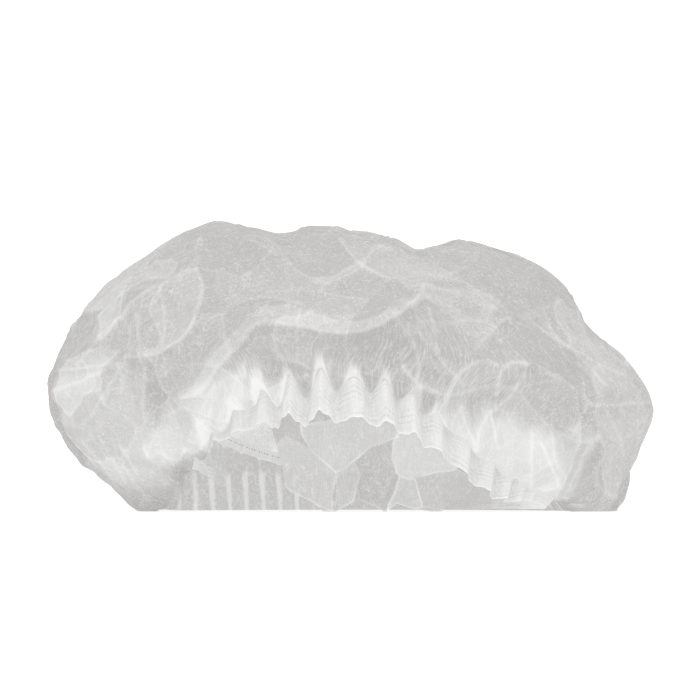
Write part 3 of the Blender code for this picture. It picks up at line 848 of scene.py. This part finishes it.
def make_mesh(name: str, rows: np.ndarray, closed: bool, marks: dict | None = None) -> Any:
    """A smooth-shaded sheet through a grid of points.

    Args:
        name: the new object's name.
        rows: the points, as rows by columns by 3.
        closed: whether each row closes into a ring.
        marks: numbers for each point, kept as mesh attributes.

    Returns:
        The new object.
    """
    count_rows, count = rows.shape[:2]
    spans = count if closed else count - 1
    column = np.arange(spans)
    after = (column + 1) % count
    upper = (np.arange(count_rows - 1) * count)[:, None]
    faces = np.stack(
        (upper + column, upper + count + column, upper + count + after, upper + after), axis=-1
    ).reshape(-1, 4)
    mesh = bpy.data.meshes.new(name)
    mesh.vertices.add(rows.shape[0] * count)
    mesh.vertices.foreach_set("co", rows.astype(np.float32).ravel())
    mesh.loops.add(faces.size)
    mesh.loops.foreach_set("vertex_index", faces.astype(np.int32).ravel())
    mesh.polygons.add(len(faces))
    mesh.polygons.foreach_set("loop_start", (np.arange(len(faces)) * 4).astype(np.int32))
    mesh.update(calc_edges=True)
    mesh.validate()
    for key, values in (marks or {}).items():
        layer = mesh.attributes.new(key, "FLOAT", "POINT")
        layer.data.foreach_set("value", values.astype(np.float32).ravel())
    mesh.shade_smooth()
    item = bpy.data.objects.new(name, mesh)
    bpy.context.scene.collection.objects.link(item)
    return item


def inside(across: np.ndarray, up: np.ndarray, outline: Sequence) -> np.ndarray:
    """Whether each point lies inside a closed outline in the same plane."""
    within = np.zeros(across.shape, bool)
    for (x0, y0), (x1, y1) in zip(outline, [*outline[1:], outline[0]]):
        spans = (y0 > up) != (y1 > up)
        crossing = (x1 - x0) * (up - y0) / (y1 - y0 if y1 != y0 else 1e-9) + x0
        within ^= spans & (across < crossing)
    return within


def unsteady(across: np.ndarray, up: np.ndarray) -> tuple:
    """The same places, shifted a little so that lines read off them waver as folds in cloth do."""
    sideways = 0.0025 * np.sin(37 * up + 9 * across) + 0.0012 * np.sin(83 * up + 41 * across)
    upward = 0.0025 * np.sin(33 * across + 11 * up + 1) + 0.0012 * np.sin(91 * across + 29 * up)
    return across + sideways, up + upward


def patch_layers(form: CapForm, points: np.ndarray, patches: Iterable, rim_width: float) -> np.ndarray:
    """How much the doubled stretches and their rims whiten the cloth at each point.

    Args:
        form: the cap's sizes.
        points: the points, in metres.
        patches: the doubled stretches.
        rim_width: how broad the rims are, as a share of the half width.

    Returns:
        The added density at each point.
    """
    across, up, facing = form.seen_from(Side.FRONT, points)
    across, up = unsteady(across, up)
    added = np.zeros(across.shape)
    rims = np.zeros(across.shape)
    for patch in patches:
        outline = form.scaled_route(Side.FRONT, patch.outline)
        distance = distance_to_route(across, up, [*outline, outline[0]])
        signed = np.where(inside(across, up, outline), distance, -distance)
        added += patch.density * smooth_step(signed / patch.soft + 0.5)
        rims = np.maximum(rims, patch.rim * np.exp(-((distance / rim_width) ** 2)))
    worn = 0.62 + 0.38 * np.sin(43 * across + 19 * up) * np.sin(31 * up - 13 * across)
    return (np.minimum(added, DOUBLED_LIMIT) + rims * worn) * facing


@dataclass(frozen=True)
class Crumple:
    """A network of sharp ridges with hollows between, as in cloth that was squeezed and let go."""

    size: float
    height: float
    seed: float

    def read(self, points: np.ndarray) -> tuple:
        """Reads the network.

        Args:
            points: the points, in metres.

        Returns:
            0 on a ridge rising to about 1 in the hollows, and a chance value from 0 to 1 for each hollow.
        """
        flat = points.reshape(-1, 3) / self.size
        depth = np.empty(len(flat))
        chance = np.empty(len(flat))
        for k, point in enumerate(flat.tolist()):
            place = Vector(point) + Vector((self.seed, 0, 0))
            place += 0.55 * noise.noise_vector(place * 0.9)
            near, centres = noise.voronoi(place)
            depth[k] = near[1] - near[0]
            chance[k] = noise.cell(centres[0] * 7.3)
        return depth.reshape(points.shape[:-1]), chance.reshape(points.shape[:-1])


@dataclass(frozen=True)
class CrownWhite:
    """How much each feature of the crown whitens the cloth, and how broad the white is. The ridge and fine
    ridge whitening is a painted highlight, the low rear whitening is painted light, and the crease
    whitening is partly a painted highlight.
    """

    plain: float = 0.04
    crease: float = 0.35
    ridge: float = 0.14
    ridge_depth: float = 0.040
    fine_ridge: float = 0.07
    fine_ridge_depth: float = 0.06
    panel: float = 0.14
    scrap: float = 0.06
    # Painted light that lifts the shade inside the lower rear
    low_rear_painted_lift: float = 0.24
    rib: float = 0.38
    rim_width: float = 0.0040
    cone: float = 0.56
    cone_rim: float = 0.16
    hem: float = 0.30
    hem_run: float = 0.012


@dataclass
class Crown:
    """One sector of the puffed body of the cap."""

    form: CapForm
    name: str
    start_deg: float
    sweep_deg: float
    columns: int
    rows: int
    coarse: Crumple = Crumple(0.040, 0.0062, 2.0)
    fine: Crumple = Crumple(0.016, 0.0022, 7.0)
    white: CrownWhite = CrownWhite()
    first_level: float = 0.004
    fold_levels: float = 0.12
    free_levels: float = 0.30
    crease_levels: float = 0.10
    ridge_lift: float = 0.12
    cone_reach: float = 0.030
    front_reach: float = 0.012
    spot_draw: float = 0.45
    flat_diameter: float = 0.489
    item: Any = None

    def build(self) -> Any:
        """Makes the sector's sheet with its folds, creases and gathers."""
        form = self.form
        white = self.white
        azimuth = np.radians(self.start_deg + self.sweep_deg * np.linspace(0, 1, self.columns + 1))
        level = self.first_level + (1 - self.first_level) * np.linspace(0, 1, self.rows + 1)
        azimuth, level = np.meshgrid(azimuth, level)
        points = form.crown_points(azimuth, level)
        outward = form.outward(points)
        free = smooth_step((1 - level) / self.free_levels)
        deep, panel = self.coarse.read(points)
        shallow, scrap = self.fine.read(points)
        crumples = self.coarse.height * (self.ridge_lift - deep) - self.fine.height * shallow
        folds = form.fold_heights(points) * smooth_step((1 - level) / self.fold_levels)
        points = points + outward * (folds + crumples * free)[..., None]
        creases, crease_double_and_highlight = self.crease_heights(points)
        points = points + outward * (creases * smooth_step((1 - level) / self.crease_levels))[..., None]
        points[..., 2] = np.maximum(points[..., 2], 0.0)
        steps = np.linalg.norm(np.diff(points, axis=0), axis=-1)
        run = np.vstack((np.cumsum(steps[::-1], axis=0)[::-1], np.zeros((1, steps.shape[1]))))
        behind = smooth_step(form.side_weights(azimuth)[..., 3] * 2.5)
        # Painted highlight: the crumple ridges are whitened, twice as much at the rear, in place of lit
        # relief; panel and scrap add random tone
        ridges = white.ridge * np.exp(-((deep / white.ridge_depth) ** 2))
        ridges = ridges + white.fine_ridge * np.exp(-((shallow / white.fine_ridge_depth) ** 2))
        crumple_highlight_and_tone = (ridges * (1 + behind) + white.panel * panel + white.scrap * scrap) * free
        # Painted light: the lower rear is whitened to lift the shade that falls inside the cap; the ribs
        # added with it are real pleats
        low = white.low_rear_painted_lift * smooth_step((level - 0.45) / 0.2)
        low = (low + white.rib * form.ribs(points) * (level > 0.8)) * behind
        # The layers value sums doubled cloth, gathers and random tone with the painted crease and ridge
        # highlights and the painted low rear light
        layers = white.plain + white.crease * crease_double_and_highlight + self.gather_white(azimuth, run)
        layers = layers + patch_layers(form, points, CROWN_PATCHES, white.rim_width) + crumple_highlight_and_tone + low
        drawn = 0.12 + 0.50 * smooth_step(1 - run / 0.045) * (1 - 0.8 * behind) + self.drawn_spots(points)
        marks = {
            "layers": np.clip(layers, 0, 1),
            "drawn": drawn,
            "along": azimuth * AROUND + 0.0030 * np.sin(130 * points[..., 2] + 5 * azimuth),
            "run": run,
        }
        self.item = make_mesh(self.name, points + form.shift, False, marks)
        return self.item

    def gather_white(self, azimuth: np.ndarray, run: np.ndarray) -> np.ndarray:
        """The white cones of the gathers: broad at the elastic, pointed above, with a bright rim.

        Args:
            azimuth: the direction of each point.
            run: the way from each point down to the elastic, in metres.

        Returns:
            The added density at each point.
        """
        white = self.white
        phase = np.angle(np.exp(1j * self.form.phase(azimuth))) / math.pi
        weights = self.form.side_weights(azimuth)
        centre = np.exp(-(((azimuth - 1.5 * math.pi) / 0.42) ** 2))
        reach = (self.cone_reach + self.front_reach * weights[..., 2]) * (1 - 0.72 * centre)
        reach = reach * (1 + 0.30 * np.sin(19 * azimuth + 1.0))
        gate = 1 - 0.85 * smooth_step(weights[..., 3] * 2.5)
        gate = gate * (1 - 0.9 * self.form.right_sag.share(azimuth))
        near = np.clip(1 - run / reach, 0, 1)
        edge = near**0.8 * 0.95 - np.abs(phase)
        body = smooth_step(edge / 0.30)
        rim = np.exp(-((edge / 0.10) ** 2)) * smooth_step(near * 3)
        hem = smooth_step(1 - run / white.hem_run)
        return (white.cone * body * smooth_step(near * 1.5) + white.cone_rim * rim + white.hem * hem) * gate

    def drawn_spots(self, points: np.ndarray) -> np.ndarray:
        """How strongly the fibres are drawn into lines beside the steep folds."""
        across, up, facing = self.form.seen_from(Side.FRONT, points)
        total = np.zeros(across.shape)
        for spot in DRAWN_SPOTS:
            middle = spot.up * self.form.height / self.form.half_width
            away = np.hypot(across - spot.across, up - middle)
            total = np.maximum(total, np.exp(-((away / spot.spread) ** 2)))
        return self.spot_draw * total * facing

    def crease_heights(self, points: np.ndarray) -> tuple:
        """The lift and the whitening of the sharp creases at each point; the whitening is partly a painted
        highlight.
        """
        form = self.form
        lift = np.zeros(points.shape[:-1])
        white = np.zeros(points.shape[:-1])
        across, up, facing = form.seen_from(Side.FRONT, points)
        across, up = unsteady(across, up)
        for crease in CREASES:
            route = rounded_route(form.scaled_route(Side.FRONT, crease.route))
            distance = distance_to_route(across, up, route) * form.half_width
            lift += facing * crease.lift * np.exp(-distance / (2.2 * crease.width))
            line = np.exp(-((distance / (0.8 * crease.width)) ** 2))
            white = np.maximum(white, facing * crease.white * line)
        return lift, white

    def dress(self) -> None:
        """Gives the sector its cloth and its place in the frame."""
        self.item.data.materials.append(Nonwoven("crown nonwoven").material())
        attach(self.item, "root")
        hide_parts("crown")


@dataclass
class Frill:
    """The pleated edge beyond the elastic."""

    form: CapForm
    columns: int = 1920
    rows: int = 50
    overlap: float = 0.0034
    front_layers: float = 0.70
    crest_white: float = 0.14
    line_count: int = 8
    line_dark: float = 0.30
    edge_white: float = 0.22
    rear_layers: float = 0.30
    rib_white: float = 0.40
    flat_length: float = 1.54
    item: Any = None

    def build(self) -> Any:
        """Makes the frill's sheet."""
        form = self.form
        azimuth = np.arange(self.columns) * TURN / self.columns
        drop = np.arange(self.rows + 1) / self.rows
        azimuth, drop = np.meshgrid(azimuth, drop)
        weights = form.side_weights(azimuth)
        calm = 1 - smooth_step(weights[..., 2] * 1.6)
        shear = 0.016 * drop * np.sin(6 * azimuth + 1) * (1 - calm)
        left = form.scallops.share(azimuth)
        wave = form.wave(azimuth + shear) * (1 - 0.35 * drop * (1 - calm)) * (1 - 0.45 * left)
        fine = np.sin(3 * form.phase(azimuth) + 1.3 * np.sin(7 * azimuth) + 1.5 * drop)
        sway = self.overlap * calm * np.sin(2 * form.phase(azimuth)) / form.hem_outs[0]
        points = form.frill_points(azimuth + sway, drop, wave * (0.75 + 0.25 * calm) + 0.10 * fine)
        bend = 0.35 * np.sin(9 * azimuth) + 0.2 * np.sin(23 * azimuth + 5 * drop)
        lines = np.exp(-((np.sin(math.pi * (self.line_count * drop**0.8 + bend)) / 0.34) ** 2))
        lines = lines * (1 - 0.8 * left)
        fade = 0.55 + 0.45 * np.sin(17 * azimuth + 9 * drop)
        edge = np.exp(-(((1 - drop) / 0.05) ** 2))
        front = self.front_layers + self.crest_white * wave - self.line_dark * lines * fade
        front = front + self.edge_white * edge - 0.10 * left
        rear = self.rear_layers + self.rib_white * form.ribs(points)
        layers = front + (rear - front) * smooth_step(weights[..., 3] * 1.5)
        marks = {
            "layers": np.clip(layers, 0, 1),
            "drawn": 0.5 - 0.4 * smooth_step(weights[..., 3] * 1.5),
            "along": azimuth * AROUND,
            "run": drop * form.frill_width,
        }
        self.item = make_mesh("frill_cloth", points + form.shift, True, marks)
        return self.item

    def dress(self) -> None:
        """Gives the frill its cloth and its place in the frame."""
        self.item.data.materials.append(Nonwoven("frill nonwoven").material())
        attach(self.item, "root")
        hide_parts("frill")


@dataclass
class Elastic:
    """The elastic ring inside the hem, with its dark stitches."""

    form: CapForm
    columns: int = 720
    thickness: float = 0.0012
    low: float = 0.0003
    ruffle: float = 0.0004
    density: float = 0.60
    stitches: int = 360
    stitch_size: float = 0.0004
    item: Any = None
    thread: Any = None

    def build(self) -> Any:
        """Makes the ring and the stitches."""
        form = self.form
        azimuth = np.arange(self.columns) * TURN / self.columns
        inner = form.elastic_inset + self.ruffle * np.sin(form.pleats * 3 * azimuth)
        low, high, wide = self.low, self.low + form.elastic_width, self.thickness
        section = ((0, high), (0, low), (wide, low), (wide, high), (0, high))
        points = np.array([form.hem_ring(azimuth, inner + inset, up) for inset, up in section])
        level = np.full(points.shape[:-1], self.density)
        along = azimuth * AROUND + 0 * level
        marks = {"layers": level, "drawn": level, "along": along, "run": points[..., 2]}
        self.item = make_mesh("elastic_cloth", points + form.shift, True, marks)
        self.thread = self.build_stitches()
        return self.item

    def build_stitches(self) -> Any:
        """Makes the short stitches on the ring's inner face, as one mesh."""
        form = self.form
        azimuth = np.arange(self.stitches) * TURN / self.stitches
        inset = form.elastic_inset + self.thickness + self.stitch_size / 2
        middle = form.hem_ring(azimuth, inset, form.elastic_width * 0.6) + form.shift
        along = np.stack((-np.sin(azimuth), np.cos(azimuth), 0 * azimuth), axis=-1) * self.stitch_size
        rise = np.array((0, 0, self.stitch_size / 2))
        turns = ((-1, -1), (1, -1), (1, 1), (-1, 1))
        corners = np.stack([middle + side * along + lift * rise for side, lift in turns], axis=1)
        mesh = bpy.data.meshes.new("elastic_stitches")
        faces = [tuple(range(4 * k, 4 * k + 4)) for k in range(self.stitches)]
        mesh.from_pydata(corners.reshape(-1, 3).tolist(), [], faces)
        item = bpy.data.objects.new("elastic_stitches", mesh)
        bpy.context.scene.collection.objects.link(item)
        return item

    def dress(self) -> None:
        """Gives the ring and the stitches their finishes and their place in the frame."""
        self.item.data.materials.append(Nonwoven("white elastic").material())
        self.thread.data.materials.append(Plain("stitch thread", (0.24, 0.23, 0.17), 0.8).material())
        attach(self.item, "root")
        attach(self.thread, "root")
        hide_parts("elastic_band")


@dataclass
class InnerFold:
    """The tucked-in cloth that hangs under the lifted front."""

    form: CapForm
    start_deg: float = 246.0
    end_deg: float = 318.0
    setback: float = 0.020
    depth: float = 0.006
    length: float = 0.06
    reach: float = 0.86
    waves: float = 4.5
    ripple: float = 0.0016
    plain_layers: float = 0.16
    edge_white: float = 0.25
    rim_width: float = 0.0030
    columns: int = 320
    rows: int = 150
    item: Any = None

    def build(self) -> Any:
        """Makes the hanging sheet."""
        form = self.form
        share = np.linspace(0, 1, self.columns + 1)
        azimuth = np.radians(self.start_deg + (self.end_deg - self.start_deg) * share)
        drop = np.linspace(0, 1, self.rows + 1)[:, None]
        top = form.hem_ring(azimuth, form.elastic_inset + 0.0012)
        across = (top[:, 0] + form.shift[0]) / form.half_width * self.reach
        places, lifts = np.array(HANG).T
        foot = np.maximum(np.interp(across, places, lifts) * form.height, form.floor_gap)
        wave = np.sin(TURN * (self.waves * share + 0.12 * np.sin(TURN * share)))
        inward = self.setback * smooth_step(drop) + self.depth * (1 - wave) * drop
        out = np.hypot(top[:, 0], top[:, 1]) - inward
        up = top[:, 2] + (foot - top[:, 2]) * drop
        points = np.stack((out * np.cos(azimuth), out * np.sin(azimuth), up + 0 * out), axis=-1)
        ripple = np.sin(points[..., 0] * 900) * np.sin(points[..., 2] * 500 + 1)
        points[..., 1] += self.ripple * ripple * drop
        edge = self.edge_white * np.exp(-(((1 - drop) / 0.015) ** 2))
        layers = self.plain_layers + patch_layers(form, points, INNER_PATCHES, self.rim_width) + edge
        marks = {
            "layers": np.clip(layers, 0, 1),
            "drawn": np.full(layers.shape, 0.30),
            "along": azimuth * AROUND + 0 * layers,
            "run": drop * self.length + 0 * layers,
        }
        self.item = make_mesh("inner_fold_cloth", points + form.shift, False, marks)
        return self.item

    def dress(self) -> None:
        """Gives the inner fold its cloth and its place in the frame."""
        self.item.data.materials.append(Nonwoven("inner nonwoven").material())
        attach(self.item, "root")
        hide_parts("inner_fold")


@dataclass(frozen=True)
class Studio:
    """The plain pale floor, the soft light and the camera."""

    distance: float = 16.0
    elevation_deg: float = 0.1
    aim_height: float = 0.0829
    frame_width: float = 0.3600
    floor_half_size: float = 30.0
    floor_grey: float = 0.28
    floor_glow: float = 0.74
    surround: float = 1.3
    suns: tuple = (("soft_sun", 1.9, -14, 38), ("front_fill", 1.6, 6, 76))
    sun_spread_deg: float = 50

    def build(self) -> None:
        """Makes the floor, the lights and the camera."""
        self.floor()
        self.lights()
        self.camera()

    def floor(self) -> None:
        """A wide plain floor that the cap rests on."""
        size = self.floor_half_size
        corners = [[(-size, size, 0), (size, size, 0)], [(-size, -size, 0), (size, -size, 0)]]
        item = make_mesh("studio_floor", np.array(corners, float), False)
        paint = bpy.data.materials.new("pale floor")
        book = NodeBook(paint)
        body = book.add(
            "ShaderNodeBsdfPrincipled",
            {},
            {
                "Base Color": (self.floor_grey, self.floor_grey, self.floor_grey, 1.0),
                "Roughness": 0.9,
                "Specular IOR Level": 0.0,
                "Emission Color": (1.0, 1.0, 1.0, 1.0),
                "Emission Strength": self.floor_glow,
            },
        )
        book.add("ShaderNodeOutputMaterial", {}, {"Surface": body})
        item.data.materials.append(paint)

    def lights(self) -> None:
        """An even pale surround and two broad soft suns."""
        world = bpy.data.worlds.new("studio")
        bpy.context.scene.world = world
        world.use_nodes = True
        surround = world.node_tree.nodes["Background"]
        surround.inputs["Color"].default_value = (1.0, 1.0, 1.0, 1.0)
        surround.inputs["Strength"].default_value = self.surround
        for name, energy, turn, tilt in self.suns:
            sun = bpy.data.lights.new(name, "SUN")
            sun.energy = energy
            sun.angle = math.radians(self.sun_spread_deg)
            lamp = bpy.data.objects.new(name, sun)
            lamp.rotation_euler = (math.radians(tilt), math.radians(turn), 0)
            bpy.context.scene.collection.objects.link(lamp)

    def camera(self) -> None:
        """A long lens at the photograph's low angle."""
        data = bpy.data.cameras.new("camera")
        data.sensor_width = 36.0
        data.lens = data.sensor_width * self.distance / self.frame_width
        data.clip_end = 100.0
        item = bpy.data.objects.new("camera", data)
        tilt = math.radians(self.elevation_deg)
        aim = Vector((0.0, 0.0, self.aim_height))
        item.location = aim + self.distance * Vector((0.0, -math.cos(tilt), math.sin(tilt)))
        item.rotation_euler = (aim - item.location).to_track_quat("-Z", "Y").to_euler()
        bpy.context.scene.collection.objects.link(item)
        bpy.context.scene.camera = item


def set_view() -> None:
    """Plain colour handling, room for many see-through layers, and few bounces."""
    scene = bpy.context.scene
    scene.view_settings.view_transform = "Standard"
    scene.cycles.transparent_max_bounces = 24
    scene.cycles.max_bounces = 3


def main() -> None:
    """Builds the cap piece by piece, then the studio."""
    logging.basicConfig(level=logging.INFO, format="%(message)s")
    noise.seed_set(CHANCE_SEED)
    form = CapForm()
    parts = (
        Crown(form, "crown_left_cloth", 180.0, 90.0, 400, 240),
        Crown(form, "crown_right_cloth", 270.0, 90.0, 400, 240),
        Crown(form, "crown_rear_cloth", 0.0, 180.0, 420, 110),
        Frill(form),
        Elastic(form),
        InnerFold(form),
    )
    for part in parts:
        item = part.build()
        part.dress()
        LOG.info("%s: %d faces", item.name, len(item.data.polygons))
    Studio().build()
    set_view()


if __name__ == "__main__":
    main()
